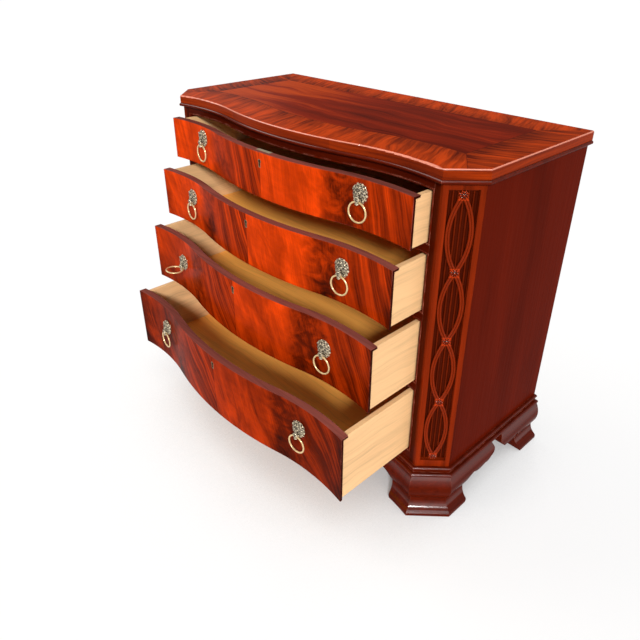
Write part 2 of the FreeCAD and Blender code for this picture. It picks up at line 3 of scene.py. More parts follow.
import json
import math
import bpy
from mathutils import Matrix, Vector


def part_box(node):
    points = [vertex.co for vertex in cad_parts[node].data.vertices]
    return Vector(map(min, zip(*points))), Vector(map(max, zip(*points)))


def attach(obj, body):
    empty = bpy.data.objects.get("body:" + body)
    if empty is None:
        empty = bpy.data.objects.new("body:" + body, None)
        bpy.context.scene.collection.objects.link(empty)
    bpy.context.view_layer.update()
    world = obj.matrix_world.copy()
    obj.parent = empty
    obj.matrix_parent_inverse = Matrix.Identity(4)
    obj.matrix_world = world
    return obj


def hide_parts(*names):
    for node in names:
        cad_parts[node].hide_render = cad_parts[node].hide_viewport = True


bl_info = {
    "name": "Serpentine chest of drawers",
    "version": (1, 0, 0),
    "blender": (4, 5, 0),
    "location": "View3D > Sidebar > Chest",
    "description": "Dresses the chest in figured mahogany, birch drawers, carving and old brass",
    "category": "Object",
}

import bpy
from bpy.props import FloatProperty, FloatVectorProperty, IntProperty, PointerProperty
from mathutils import Matrix, Vector

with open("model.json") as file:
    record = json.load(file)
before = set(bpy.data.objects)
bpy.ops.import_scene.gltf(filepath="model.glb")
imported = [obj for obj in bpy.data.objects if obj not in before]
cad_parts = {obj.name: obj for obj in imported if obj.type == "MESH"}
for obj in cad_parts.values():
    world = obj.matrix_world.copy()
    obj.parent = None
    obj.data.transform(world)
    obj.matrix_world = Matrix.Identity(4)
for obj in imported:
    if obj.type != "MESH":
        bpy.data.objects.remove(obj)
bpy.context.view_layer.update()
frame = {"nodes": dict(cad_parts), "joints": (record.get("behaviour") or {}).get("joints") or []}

DRAWERS = ("drawer_1", "drawer_2", "drawer_3", "drawer_4")
SIDES = ("left", "right")
PULLS = [(drawer, side) for drawer in DRAWERS for side in SIDES]
MM = 0.001

# Plan of the front in metres: a convex arc in the middle, a hollow arc at each end, a cant at each corner
CREST_RADIUS = 0.98166
CREST_CENTRE_Y = 0.85076
HOLLOW_RADIUS = 0.55218
HOLLOW_CENTRE_X = 0.34800
HOLLOW_CENTRE_Y = -0.64308
CANT_X = 0.468
CANT_Y = -0.10410
CANT_WIDTH_MM = 84.853
PANEL_DEPTH_MM = 6.0

# Carved chain in the sunk panel of the cant
CHAIN_LOW_MM = 179.0
CHAIN_HIGH_MM = 862.0
CHAIN_OVALS = 4
RIBBON_BOW_MM = 23.5
RIBBON_SINK_MM = 1.3
RIBBON_GAP_MM = 7.4
REED_RADIUS_MM = 2.8
REED_OFFSET_MM = 2.6
PETALS = 8

# Pulls: the ring hangs in the mouth of a mask that faces -Y with its back on the drawer front
RING_MM = 23.25
RING_WIRE_MM = 2.25
HANG_LIMIT = math.radians(-8.0)
MOUTH_MM = Vector((0.0, -11.0, -16.5))
MOUTH_BORE_MM = 4.3
UPPER_LOCKS = 11
UPPER_SPREAD = math.radians(126)
FRINGE_LOCKS = 6
FRINGE_SPREAD = math.radians(70)
HOLLOW_LAYER = "hollow"

# Leaf of figured veneer: its width and where its parts begin and end, from its inner edge
LEAF_WIDTH = 0.442
PATCH_BEGINS = (0.175, 0.235)
PATCH_ENDS = (0.280, 0.330)
STREAKS_BEGIN = (0.265, 0.325)

TOP_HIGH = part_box("top_board")[1]
TOP_HALF_WIDTH = TOP_HIGH.x
TOP_BACK_Y = TOP_HIGH.y
TOP_OVERHANG = 0.007


def colour(name, text, value):
    return FloatVectorProperty(name=name, description=text, default=value, subtype="COLOR",
                               size=3, min=0.0, max=1.0)


def length(name, text, value):
    return FloatProperty(name=name, description=text, default=value, unit="LENGTH", min=0.0,
                         precision=4)


class ChestWood(bpy.types.PropertyGroup):
    """Colours of the timbers and the layout of the veneers."""
    # The dark figure colour also serves as painted shade in the keyholes and narrow gaps of the fronts
    veneer_dark_and_shade: colour("Figure, dark", "Dark patches and streaks of the fronts", (0.022, 0.0024, 0.0008))
    veneer_mid: colour("Figure, middle", "Plain parts of the fronts", (0.395, 0.028, 0.0009))
    veneer_bright: colour("Figure, bright", "Bright streaks of the fronts", (0.95, 0.125, 0.004))
    front_edge: colour("Front edges", "Upper edges and ends of the drawer fronts", (0.205, 0.054, 0.041))
    field: colour("Top field", "Middle of the top board", (0.140, 0.009, 0.0009))
    field_bright: colour("Top field, bright", "Bright streaks in the field", (0.46, 0.050, 0.004))
    banding: colour("Crossbanding", "Border of the top board", (0.49, 0.047, 0.003))
    banding_dark: colour("Crossbanding, dark", "Dark strokes in the border", (0.10, 0.008, 0.001))
    solid: colour("Solid mahogany", "Rails, mouldings and feet", (0.072, 0.0054, 0.0009))
    post: colour("Corner posts", "Plain margins of the corner posts", (0.142, 0.0117, 0.0011))
    side: colour("Case sides", "Plain veneer of the case sides", (0.080, 0.0053, 0.0011))
    # The rubbed colour is partly worn polish and partly a painted highlight along rounded edges and arrises
    rubbed_sheen: colour("Rubbed edges", "Arrises where the polish is worn thin", (0.46, 0.17, 0.115))
    birch: colour("Drawer sides", "Pale wood of the drawer boxes", (0.75, 0.450, 0.215))
    # The drawer-bottom colour is partly the wood's own gold and partly painted light: it is pushed to full
    # brightness to stand in for light reaching the shaded insides
    inside: colour("Drawer insides", "Golden wood of the drawer bottoms", (1.0, 0.45, 0.088))
    hidden: colour("Hidden wood", "Back, bottom and runners", (0.36, 0.20, 0.10))
    front_band: length("Front band", "Width of the crossbanding along the front", 0.108)
    side_band: length("Side band", "Width of the crossbanding along the sides and back", 0.095)


class ChestBrass(bpy.types.PropertyGroup):
    """Colours of the old brass and the fineness of the castings."""
    metal: colour("Brass", "Rubbed high places of the pulls", (0.80, 0.68, 0.46))
    wire: colour("Ring brass", "Yellow brass of the rings and keyholes", (0.74, 0.53, 0.26))
    patina: colour("Patina", "Dark hollows of the pulls", (0.030, 0.019, 0.010))
    grain_mm: FloatProperty(name="Casting fineness", description="Finest detail of a mask, in mm",
                            default=0.42, min=0.25, max=1.5)
    locks: IntProperty(name="Locks", description="Locks of hair in the outer row of the mane",
                       default=14, min=8, max=30)


class ChestStage(bpy.types.PropertyGroup):
    """Camera and floor."""
    eye: FloatVectorProperty(name="Camera place", description="Where the camera stands", unit="LENGTH",
                             default=(1.1061, -1.0195, 1.2657), size=3)
    yaw: FloatProperty(name="Camera turn", description="Turn of the camera to the left", subtype="ANGLE",
                       default=math.radians(47.135))
    pitch: FloatProperty(name="Camera dip", description="How far the camera looks down", subtype="ANGLE",
                         default=math.radians(28.119))
    lens: FloatProperty(name="Lens", description="Focal length in mm on a 36 mm sensor", default=33.44)
    rise: FloatProperty(name="Frame shift", description="Upright shift of the frame", default=-0.067)
    floor: colour("Floor", "Colour of the floor", (0.96, 0.96, 0.96))


class Value:
    """A number that runs over a surface, which sums and comparisons turn into nodes."""

    def __init__(self, tree, socket):
        self.tree = tree
        self.socket = socket

    def of(self, operation, *terms):
        node = self.tree.nodes.new("ShaderNodeMath")
        node.operation = operation
        for place, term in zip(node.inputs, terms):
            feed(self.tree, place, term)
        return Value(self.tree, node.outputs[0])

    def __add__(self, other):
        return self.of("ADD", self, other)

    def __radd__(self, other):
        return self.of("ADD", other, self)

    def __sub__(self, other):
        return self.of("SUBTRACT", self, other)

    def __rsub__(self, other):
        return self.of("SUBTRACT", other, self)

    def __mul__(self, other):
        return self.of("MULTIPLY", self, other)

    def __rmul__(self, other):
        return self.of("MULTIPLY", other, self)

    def __truediv__(self, other):
        return self.of("DIVIDE", self, other)

    def __lt__(self, other):
        return self.of("LESS_THAN", self, other)

    def __abs__(self):
        return self.of("ABSOLUTE", self)

    def least(self, other):
        return self.of("MINIMUM", self, other)

    def most(self, other):
        return self.of("MAXIMUM", self, other)

    def root(self):
        return self.of("SQRT", self)

    def floor(self):
        return self.of("FLOOR", self)


def feed(tree, socket, item):
    """Links a value to a socket, or sets a plain number, colour or vector on it."""
    if isinstance(item, Value):
        tree.links.new(item.socket, socket)
    elif hasattr(item, "__len__") and socket.type == "RGBA" and len(item) == 3:
        socket.default_value = (*item, 1.0)
    else:
        socket.default_value = item


class Finish:
    """A material, or the world, in the making: one method adds any node, and a few shorthands use it."""

    def __init__(self, owner):
        """Clears the nodes of a world or a material; a name makes a new material."""
        self.owner = bpy.data.materials.new(owner) if isinstance(owner, str) else owner
        self.owner.use_nodes = True
        self.tree = self.owner.node_tree
        self.tree.nodes.clear()

    def node(self, kind, settings=None, sockets=None, out=0):
        """Adds a node and gives its output, or a list where several outputs are named."""
        made = self.tree.nodes.new(kind)
        for key, setting in (settings or {}).items():
            if key == "stops":
                set_stops(made.color_ramp, setting)
            else:
                setattr(made, key, setting)
        for key, item in (sockets or {}).items():
            feed(self.tree, made.inputs[key], item)
        if isinstance(out, tuple):
            return [Value(self.tree, made.outputs[name]) for name in out]
        return Value(self.tree, made.outputs[out]) if made.outputs else None

    def place(self):
        """Object place in metres as three values."""
        return self.parts(self.node("ShaderNodeTexCoord", out="Object"))

    def facing(self):
        """Object-space normal as three values."""
        return self.parts(self.node("ShaderNodeTexCoord", out="Normal"))

    def parts(self, vector):
        return self.node("ShaderNodeSeparateXYZ", sockets={0: vector}, out=("X", "Y", "Z"))

    def cloud(self, x, y, z, detail=3.0, rough=0.55, swirl=0.0):
        """Soft noise about one half, at a place already scaled to the size of its clouds."""
        point = self.node("ShaderNodeCombineXYZ", sockets={0: x, 1: y, 2: z})
        return self.node("ShaderNodeTexNoise", sockets={
            "Vector": point, "Scale": 1.0, "Detail": detail, "Roughness": rough, "Distortion": swirl})

    def chance(self, number):
        return self.node("ShaderNodeTexWhiteNoise", {"noise_dimensions": "1D"}, {"W": number})

    def rise(self, value, low, high):
        """Smooth step from 0 at the low value to 1 at the high one."""
        return self.node("ShaderNodeMapRange", {"interpolation_type": "SMOOTHSTEP"}, {
            "Value": value, "From Min": low, "From Max": high, "To Min": 0.0, "To Max": 1.0})

    def tones(self, value, stops):
        return self.node("ShaderNodeValToRGB", {"stops": stops}, {0: value})

    def shades(self, value, shade, steps):
        """Tones of one colour: its lightness at each step of the value."""
        return self.tones(value, [(step, scaled(shade, lightness)) for step, lightness in steps.items()])

    def blend(self, first, second, share):
        settings = {"data_type": "RGBA", "blend_type": "MIX", "clamp_factor": True}
        return self.node("ShaderNodeMix", settings, {0: share, 6: first, 7: second}, out=2)

    def bump(self, height, strength, distance, normal=None):
        sockets = {"Height": height, "Strength": strength, "Distance": distance}
        if normal is not None:
            sockets["Normal"] = normal
        return self.node("ShaderNodeBump", sockets=sockets)

    def soft_edge(self, radius):
        return self.node("ShaderNodeBevel", {"samples": 4}, {"Radius": radius})

    def openness(self, reach, alone=True):
        """One in the open, falling to zero in a hole or under something nearer than the reach."""
        return self.node("ShaderNodeAmbientOcclusion", {"samples": 4, "only_local": alone},
                         {"Distance": reach}, out="AO")

    def hollowness(self):
        """What mark_hollows stored: low in the hollows, high on the ridges."""
        return self.parts(self.node("ShaderNodeVertexColor", {"layer_name": HOLLOW_LAYER}))[0]

    def over(self, below, above, share):
        """One shader laid over another by a share."""
        return self.node("ShaderNodeMixShader", sockets={0: share, 1: below, 2: above})

    def finish(self, sockets):
        shader = self.node("ShaderNodeBsdfPrincipled", sockets=sockets)
        self.node("ShaderNodeOutputMaterial", sockets={"Surface": shader})
        return self.owner


def set_stops(ramp, stops):
    while len(ramp.elements) < len(stops):
        ramp.elements.new(1.0)
    for element, (position, shade) in zip(ramp.elements, stops):
        element.position = position
        element.color = (*shade, 1.0)


def scaled(shade, factor):
    return tuple(min(1.0, part * factor) for part in shade)


POLISH = {"Coat Roughness": 0.13, "Coat IOR": 1.45}


def polished(finish, shade, rough, relief, gloss=0.012, coat=0.06, eased=0.0012):
    """French-polished wood: eased edges, a trace of open grain and a thin clear coat."""
    normal = finish.bump(relief, strength=0.10, distance=0.0006, normal=finish.soft_edge(eased))
    return finish.finish({"Base Color": shade, "Roughness": rough, "Normal": normal,
                          "Specular IOR Level": gloss, "Coat Weight": coat, **POLISH})


def upward_coat(finish, most):
    """Weight of a coat that lies thick on ledges and rounded shoulders and thin on upright faces."""
    nz = finish.facing()[2]
    return finish.rise(nz, 0.08, 0.50) * most + 0.02


def grain_tone(finish, along, across, through, broad=34.0, fine=420.0):
    """Straight-grained tone about one half: broad streaks, fine lines and short pores."""
    sway = finish.cloud(along * 2.2, across * 9.0, through * 9.0, detail=2.0)
    side = across + (sway - 0.5) * 0.018
    streak = finish.cloud(along * 1.6, side * broad, through * broad, detail=4.0)
    lines = finish.cloud(along * 5.0, side * fine * 0.45, through * fine * 0.45, detail=2.0)
    pores = finish.cloud(along * 55.0, side * fine * 2.2, through * fine * 2.2, detail=1.0)
    ticks = finish.rise(pores, 0.60, 0.74)
    return streak * 0.62 + lines * 0.38 - ticks * 0.07, lines - ticks * 0.5


def solid_mahogany(name, wood, lightness, along, wear=0.5):
    """Solid polished mahogany with its grain along one axis (0, 1 or 2)."""
    finish = Finish(name)
    shade = scaled(wood.solid, lightness)
    place = finish.place()
    others = [place[axis] for axis in range(3) if axis != along]
    tone, relief = grain_tone(finish, place[along], others[0], others[1])
    body = finish.shades(tone, shade, {0.30: 0.60, 0.47: 0.92, 0.56: 1.10, 0.72: 1.45})
    # Light edges here are partly wear and partly a painted highlight on the beads and arrises
    body = worn_and_highlit_edges(finish, body, tuple(wood.rubbed_sheen), wear)
    return polished(finish, body, relief * 0.06 + 0.20, relief, coat=upward_coat(finish, 0.90))


def worn_and_highlit_edges(finish, body, rubbed_sheen, wear):
    """Lightens the wood along its edges: partly rubbed wear, partly a painted highlight on the arris."""
    soft = finish.soft_edge(0.0022)
    flat = finish.node("ShaderNodeNewGeometry", out="Normal")
    along = finish.node("ShaderNodeVectorMath", {"operation": "DOT_PRODUCT"}, {0: soft, 1: flat},
                        out="Value")
    x, y, z = finish.place()
    patchy = finish.rise(finish.cloud(x * 30.0, y * 30.0, z * 30.0, detail=3.0), 0.38, 0.66)
    edge = (1.0 - finish.rise(along, 0.80, 0.985)) * patchy
    return finish.blend(body, rubbed_sheen, edge * wear)


def dress(material, *nodes):
    """Gives CAD nodes a finish through their objects' slots."""
    for name in nodes:
        slot = frame["nodes"][name].material_slots[0]
        slot.link = "OBJECT"
        slot.material = material


def of_drawers(piece):
    """Names of one kind of piece in all four drawers."""
    return ["%s_%s" % (drawer, piece) for drawer in DRAWERS]


def leaf_tone(finish, x, z):
    """Tone of the slip-matched figure: plain, then a dark mottled patch, then fanned streaks."""
    # Two leaves lie side by side, both with the inner edge on the left
    left = x < 0.0
    across = x + left * LEAF_WIDTH
    # Ruffled bounds of the parts of a leaf
    drift = finish.cloud(across * 7.0, z * 4.5, x * 0.6, detail=3.0) - 0.5
    ruffle = finish.cloud(across * 26.0, z * 17.0, x * 0.9 + 4.0, detail=4.0) - 0.5
    edge = across + drift * 0.07 + ruffle * 0.040
    patch = finish.rise(edge, *PATCH_BEGINS) * (1.0 - finish.rise(edge, *PATCH_ENDS))
    streaky = finish.rise(edge, *STREAKS_BEGIN)
    # Streaks that lean more towards the outer end and on the lower drawers
    lean = finish.rise(across, 0.20, LEAF_WIDTH) * 0.30 + (1.0 - finish.rise(z, 0.30, 0.85)) * 0.14 + 0.14
    fan = across + (z - 0.5) * lean + drift * 0.040
    bands = finish.cloud(fan * 40.0, z * 2.0, x * 0.4, detail=2.0, rough=0.5)
    strokes = finish.cloud(fan * 130.0, z * 4.0, 2.0, detail=3.0, rough=0.6)
    lines = finish.cloud(fan * 420.0, z * 9.0, 5.0, detail=2.0)
    # Clouds of the dark patch, wisps and cross ripples of the plain part
    mottle = finish.cloud(across * 20.0, z * 26.0, x * 0.5 + 9.0, detail=5.0, rough=0.62, swirl=1.2)
    wisp = finish.cloud((across + z * 0.30) * 22.0, z * 7.0, x * 0.7 + 13.0, detail=6.0, swirl=0.9)
    ripple = finish.cloud(across * 9.0, (z + across * 0.25) * 75.0, 17.0, detail=2.0)
    # Tones of the three parts, all darker low down: painted shade on the lower drawers and, low down, on
    # the left ends
    low = 1.0 - finish.rise(z, 0.24, 0.80)
    outer = finish.rise(0.0 - x, 0.10, 0.40)
    plain = drift * 0.50 + (wisp - 0.5) * 0.62 + (ripple - 0.5) * 0.12 + 0.64
    plain = plain - low * 0.22 - outer * low * 0.12
    dark = patch * ((0.70 - mottle) * 0.80 + 0.17) * (1.0 - left * 0.35) * (1.0 - low * 0.5)
    # The lift of the blaze also carries painted shade on the lower drawers
    lift_with_painted_light = left * 0.04 - low * (0.18 - left * 0.10) + 0.18
    blaze = finish.rise(bands, 0.38, 0.64) * 0.29 + finish.rise(strokes, 0.34, 0.68) * 0.20
    blaze = blaze * (1.0 - low * 0.30) + lift_with_painted_light + low * 0.07
    tone = plain - dark
    tone = tone + (blaze - tone) * streaky * (left * 0.16 + 0.72)
    tone = tone + (lines - 0.5) * 0.24 + (mottle - 0.5) * 0.14
    # The joint of the two leaves and the handled ends
    seam = 1.0 - finish.rise(abs(x), 0.0003, 0.0016)
    ends = finish.rise(abs(x), 0.415, LEAF_WIDTH)
    return tone - seam * 0.16 - ends * 0.12, lines


def front_veneer(wood):
    """Figured veneer on the face, solid mahogany on the edges and the inner side."""
    finish = Finish("front_veneer")
    x, y, z = finish.place()
    tone, lines = leaf_tone(finish, x, z)
    face = finish.tones(tone, [(0.06, tuple(wood.veneer_dark_and_shade)), (0.24, scaled(wood.veneer_mid, 0.22)),
                               (0.40, scaled(wood.veneer_mid, 0.58)), (0.56, tuple(wood.veneer_mid)),
                               (0.74, scaled(wood.veneer_mid, 1.75)), (0.95, tuple(wood.veneer_bright))])
    edge_tone, _ = grain_tone(finish, x, y, z)
    edge = finish.shades(edge_tone, wood.front_edge, {0.34: 0.55, 0.64: 1.25})
    nx, ny, _ = finish.facing()
    forward = finish.rise(0.0 - ny, 0.45, 0.60)
    edge = finish.blend(edge, scaled(wood.veneer_dark_and_shade, 1.3), finish.rise(abs(nx), 0.75, 0.92))
    shade = finish.blend(edge, face, forward)
    # Light front arris: partly wear, partly a painted highlight line
    shade = worn_and_highlit_edges(finish, shade, scaled(wood.front_edge, 2.0), 0.55)
    # Painted shade: the front turns to the dark figure colour in the keyholes and narrow gaps, where little
    # light reaches
    clear_of_painted_shade = finish.rise(finish.openness(0.007), 0.30, 0.62)
    shade = finish.blend(tuple(wood.veneer_dark_and_shade), shade, clear_of_painted_shade)
    return polished(finish, shade, lines * 0.07 + 0.22, lines, gloss=0.006, coat=0.02)


def top_edge_distances(x, y):
    """Distances in from the front, side and back edges of the top board."""
    reach = abs(x)
    rise = y - CREST_CENTRE_Y
    crest_gap = (CREST_RADIUS + TOP_OVERHANG) - (x * x + rise * rise).root()
    run = reach - HOLLOW_CENTRE_X
    drop = y - HOLLOW_CENTRE_Y
    hollow_gap = (run * run + drop * drop).root() - (HOLLOW_RADIUS - TOP_OVERHANG)
    span = CREST_CENTRE_Y - HOLLOW_CENTRE_Y
    middle = (reach * span) < ((CREST_CENTRE_Y - y) * HOLLOW_CENTRE_X)
    front = hollow_gap + (crest_gap - hollow_gap) * middle
    return front, TOP_HALF_WIDTH - reach, TOP_BACK_Y - y


def band_tone(finish, along, across, seed):
    """Tone of crossbanding: strokes across the band that fan a little."""
    sway = finish.cloud(along * 8.0, across * 6.0, seed, detail=2.0) - 0.5
    fan = along + sway * 0.05 + across * 0.35
    bold = finish.cloud(fan * 34.0, across * 5.0, seed + 2.0, detail=4.0, rough=0.6)
    strokes = finish.cloud(fan * 120.0, across * 9.0, seed + 4.0, detail=3.0)
    return bold * 0.62 + strokes * 0.38


def top_veneer(wood):
    """Crossbanded top: a darker field inside a bright border that is mitred at the cants."""
    finish = Finish("top_veneer")
    x, y, z = finish.place()
    front, side, back = top_edge_distances(x, y)
    # Shares of the way across each band: the field begins where all have reached one
    front_share = front / wood.front_band
    side_share = side / wood.side_band
    back_share = back / wood.side_band
    nearest = front_share.least(side_share).least(back_share)
    in_field = finish.rise(nearest, 0.996, 1.004)
    on_side = side_share < front_share.least(back_share)
    front_tone = band_tone(finish, x, front, 1.0)
    side_tone = band_tone(finish, y, side, 11.0)
    tone = front_tone + (side_tone - front_tone) * on_side
    mitre = 1.0 - finish.rise(abs(side_share - front_share) * nearest, 0.0, 0.012)
    inner = finish.rise(nearest, 0.30, 0.95) * 0.09 + finish.rise(abs(nearest - 1.0), 0.03, 0.0) * 0.20
    border = finish.tones(tone - mitre * 0.10 - inner - on_side * 0.07, [
        (0.30, tuple(wood.banding_dark)), (0.44, scaled(wood.banding, 0.62)),
        (0.54, tuple(wood.banding)), (0.70, scaled(wood.banding, 1.30))])
    # Field: wavy streaks along the top, with a painted sheen that makes it brighter on the left
    sway = finish.cloud(x * 2.4, y * 5.0, 3.0, detail=3.0) - 0.5
    flow = y + sway * 0.14
    streak = finish.cloud(x * 1.5, flow * 26.0, 5.0, detail=5.0, rough=0.6)
    lines = finish.cloud(x * 6.0, flow * 240.0, 7.0, detail=2.0)
    lift_with_painted_light = 1.0 - finish.rise(x, -0.42, 0.12)
    field = finish.tones(streak * 0.72 + lines * 0.28 + sway * 0.20 + lift_with_painted_light * 0.23, [
        (0.32, scaled(wood.field, 0.42)), (0.47, tuple(wood.field)),
        (0.60, scaled(wood.field, 1.6)), (0.76, tuple(wood.field_bright))])
    upper = finish.blend(border, field, in_field)
    rim = edge_band(finish, wood, x, y, z)
    # Rounded edge: the veneered rim, a painted highlight along the arris in the rubbed colour, and a thick
    # coat on the shoulder
    nz = finish.facing()[2]
    on_top = finish.rise(nz, 0.80, 0.985)
    shade = finish.blend(rim, upper, on_top)
    painted_arris_highlight = finish.rise(nz, 0.30, 0.55) * (1.0 - finish.rise(nz, 0.86, 0.97))
    shade = finish.blend(shade, scaled(wood.rubbed_sheen, 1.6), painted_arris_highlight * 0.80)
    shoulder = finish.rise(nz, 0.06, 0.30) * (1.0 - on_top)
    return polished(finish, shade, lines * 0.06 + 0.18, lines, gloss=0.007, coat=shoulder * 0.95 + 0.03,
                    eased=0.0028)


def edge_band(finish, wood, x, y, z):
    """Veneered edge of the top, laid in lengths that differ a little in tone."""
    piece = finish.chance(((x + 0.20) / 0.37).floor())
    tone, _ = grain_tone(finish, x + y, z, 0.0, broad=60.0)
    shade = finish.tones(tone, [(0.34, tuple(wood.solid)), (0.66, scaled(wood.banding, 0.70))])
    return finish.blend(shade, tuple(wood.solid), piece * 0.60)


def cant_height(x, y):
    """How far a place stands out from the face of the cant."""
    return ((abs(x) - CANT_X) - (y - CANT_Y)) * (1 / math.sqrt(2))


def corner_post(wood):
    """Corner post: bright plain margins, and a fluted panel recessed in the cant that painted shade darkens
    the deeper it lies.
    """
    finish = Finish("corner_post")
    x, y, z = finish.place()
    tone, relief = grain_tone(finish, z, x, y, broad=46.0)
    margin = finish.shades(tone, wood.post, {0.32: 0.50, 0.48: 0.95, 0.68: 1.45})
    # Painted shade: the panel darkens the deeper it is recessed
    painted_recess_shade = finish.rise(0.0 - cant_height(x, y), 0.0020, 0.0095)
    ground = finish.blend(margin, scaled(wood.post, 0.16), painted_recess_shade * 0.82)
    shade = worn_and_highlit_edges(finish, ground, scaled(wood.post, 1.7), 0.5)
    return polished(finish, shade, relief * 0.08 + 0.25, relief, gloss=0.010, coat=0.03)


def carved_wood(wood):
    """Carved chain: painted highlights on the ridges and rosettes, painted shade in the hollows and low in
    the panel.
    """
    finish = Finish("carved_mahogany")
    x, y, z = finish.place()
    tone, relief = grain_tone(finish, z, x, y, broad=80.0)
    ridge = finish.shades(tone, wood.post, {0.32: 0.45, 0.50: 0.75, 0.68: 1.10})
    # Painted shade low in the panel, and a painted highlight on the rosettes at each crossing
    low = finish.rise(0.0 - cant_height(x, y), 0.0012, 0.0056)
    step = (z - CHAIN_LOW_MM * MM) / ((CHAIN_HIGH_MM - CHAIN_LOW_MM) * MM / CHAIN_OVALS)
    painted_rosette_highlight = 1.0 - finish.rise(abs(step - (step + 0.5).floor()), 0.055, 0.068)
    depth = finish.hollowness()
    # Painted shade low in the panel and in the hollows of the carving, painted highlights on its ridges and
    # rosettes
    shade = finish.blend(ridge, scaled(wood.post, 0.14), low * 0.72)
    shade = finish.blend(shade, scaled(wood.post, 0.10), (1.0 - finish.rise(depth, 0.0, 0.022)) * 0.65)
    shade = finish.blend(shade, scaled(wood.post, 1.6), finish.rise(depth, 0.05, 0.24) * 0.45)
    shade = finish.blend(shade, scaled(wood.post, 2.6), finish.rise(depth, 0.006, 0.040) * painted_rosette_highlight * 0.80)
    return finish.finish({"Base Color": shade, "Roughness": relief * 0.08 + 0.20,
                          "Normal": finish.bump(relief, strength=0.12, distance=0.0005),
                          "Specular IOR Level": 0.03, "Coat Weight": upward_coat(finish, 0.95), **POLISH})


def side_veneer(wood):
    """Plain veneer of the sides: upright ribbon grain under a deep polish."""
    finish = Finish("case_veneer")
    x, y, z = finish.place()
    tone, relief = grain_tone(finish, z, y, x, broad=26.0)
    ribbon = finish.cloud(y * 9.0, z * 1.1, 3.0, detail=4.0, swirl=0.4)
    shade = finish.shades(tone * 0.12 + ribbon * 0.88, wood.side,
                          {0.32: 0.70, 0.48: 1.0, 0.58: 1.10, 0.72: 1.38})
    shade = worn_and_highlit_edges(finish, shade, scaled(wood.side, 2.6), 0.5)
    return polished(finish, shade, relief * 0.07 + 0.24, relief * 0.2, gloss=0.002, coat=0.01)


PLANED = 0.46
ROUGH_SAWN = 0.62


def pale_wood(name, shade, along, up, through, dull=PLANED):
    """Unstained wood with its grain along an axis (0, 1 or 2): growth lines, rays and soft marks."""
    finish = Finish(name)
    place = finish.place()
    run, level, deep = place[along], place[up], place[through]
    sway = finish.cloud(run * 3.0, level * 7.0, deep * 3.0, detail=3.0) - 0.5
    growth = finish.cloud(run * 1.8, (level + sway * 0.06) * 55.0, deep * 4.0, detail=4.0)
    lines = finish.cloud(run * 7.0, (level + sway * 0.06) * 330.0, deep * 40.0, detail=2.0)
    flecks = finish.rise(finish.cloud(run * 90.0, level * 700.0, deep * 300.0, detail=1.0), 0.62, 0.74)
    tone = growth * 0.6 + lines * 0.4 - flecks * 0.05
    body = finish.shades(tone, shade, {0.32: 0.72, 0.44: 0.91, 0.54: 1.0, 0.70: 1.06})
    x, y, z = place
    marks = finish.rise(finish.cloud(x * 6.0, y * 6.0, z * 6.0 + 8.0, detail=4.0), 0.52, 0.74)
    body = finish.blend(body, scaled(shade, 0.78), marks * 0.22)
    normal = finish.bump(tone, strength=0.18, distance=0.0006, normal=finish.soft_edge(0.0010))
    return finish.finish({"Base Color": body, "Roughness": lines * 0.12 + dull, "Normal": normal,
                          "Specular IOR Level": 0.30})


def old_brass(name, metal, patina, polish, lacquer=0.0, cast=False):
    """Old lacquered brass: rubbed bright on the high places, brown and dull in the hollows."""
    finish = Finish(name)
    x, y, z = finish.place()
    cloudy = finish.cloud(x * 160.0, y * 160.0, z * 160.0, detail=4.0)
    fine = finish.cloud(x * 900.0, y * 900.0, z * 900.0, detail=2.0)
    tarnish = finish.rise(cloudy, 0.46, 0.72) * (1.0 - polish)
    if cast:
        depth = finish.hollowness()
        tarnish = tarnish.most(1.0 - finish.rise(depth, 0.026, 0.125))
    shade = finish.blend(tuple(metal), tuple(patina), tarnish)
    return finish.finish({"Base Color": shade, "Metallic": (1.0 - lacquer) - tarnish * 0.45,
                          "Roughness": tarnish * 0.34 + fine * 0.08 + 0.20,
                          "Normal": finish.bump(cloudy * 0.7 + fine * 0.3, strength=0.12, distance=0.0004)})


def take(piece):
    """Makes a piece the active one and the only one selected."""
    bpy.ops.object.select_all(action="DESELECT")
    piece.select_set(True)
    bpy.context.view_layer.objects.active = piece


def edit_all():
    """Opens the active piece for editing, with all of it selected."""
    bpy.ops.object.mode_set(mode="EDIT")
    bpy.ops.mesh.select_all(action="SELECT")


def edit_done():
    bpy.ops.object.mode_set(mode="OBJECT")


def lump(place, radii, turn=(0.0, 0.0, 0.0), segments=18, rings=12):
    """A pressed ball of wax at its place, in mm."""
    bpy.ops.mesh.primitive_uv_sphere_add(segments=segments, ring_count=rings, radius=1.0,
                                         location=place, rotation=turn)
    ball = bpy.context.object
    ball.scale = radii
    return ball


def both_sides(place, radii, turn=(0.0, 0.0, 0.0)):
    """A pair of lumps mirrored about the middle."""
    x, y, z = place
    tilt, roll, spin = turn
    return [lump(place, radii, turn), lump((-x, y, z), radii, (tilt, -roll, -spin))]


def outward_again(piece):
    """Turns faces outwards, also those that a mirrored copy has turned in."""
    take(piece)
    edit_all()
    bpy.ops.mesh.normals_make_consistent(inside=False)
    edit_done()


def joined(pieces, name):
    take(pieces[0])
    for piece in pieces[1:]:
        piece.select_set(True)
    bpy.ops.object.join()
    whole = bpy.context.object
    whole.name = name
    bpy.ops.object.transform_apply(location=True, rotation=True, scale=True)
    outward_again(whole)
    return whole


def modify(piece, kind, **settings):
    """Adds a modifier and applies it."""
    take(piece)
    modifier = piece.modifiers.new(kind.title(), kind)
    for key, setting in settings.items():
        setattr(modifier, key, setting)
    bpy.ops.object.modifier_apply(modifier=modifier.name)


def cut_away(piece, cutters):
    for cutter in cutters:
        modify(piece, "BOOLEAN", operation="DIFFERENCE", object=cutter, solver="MANIFOLD")
        bpy.data.objects.remove(cutter)


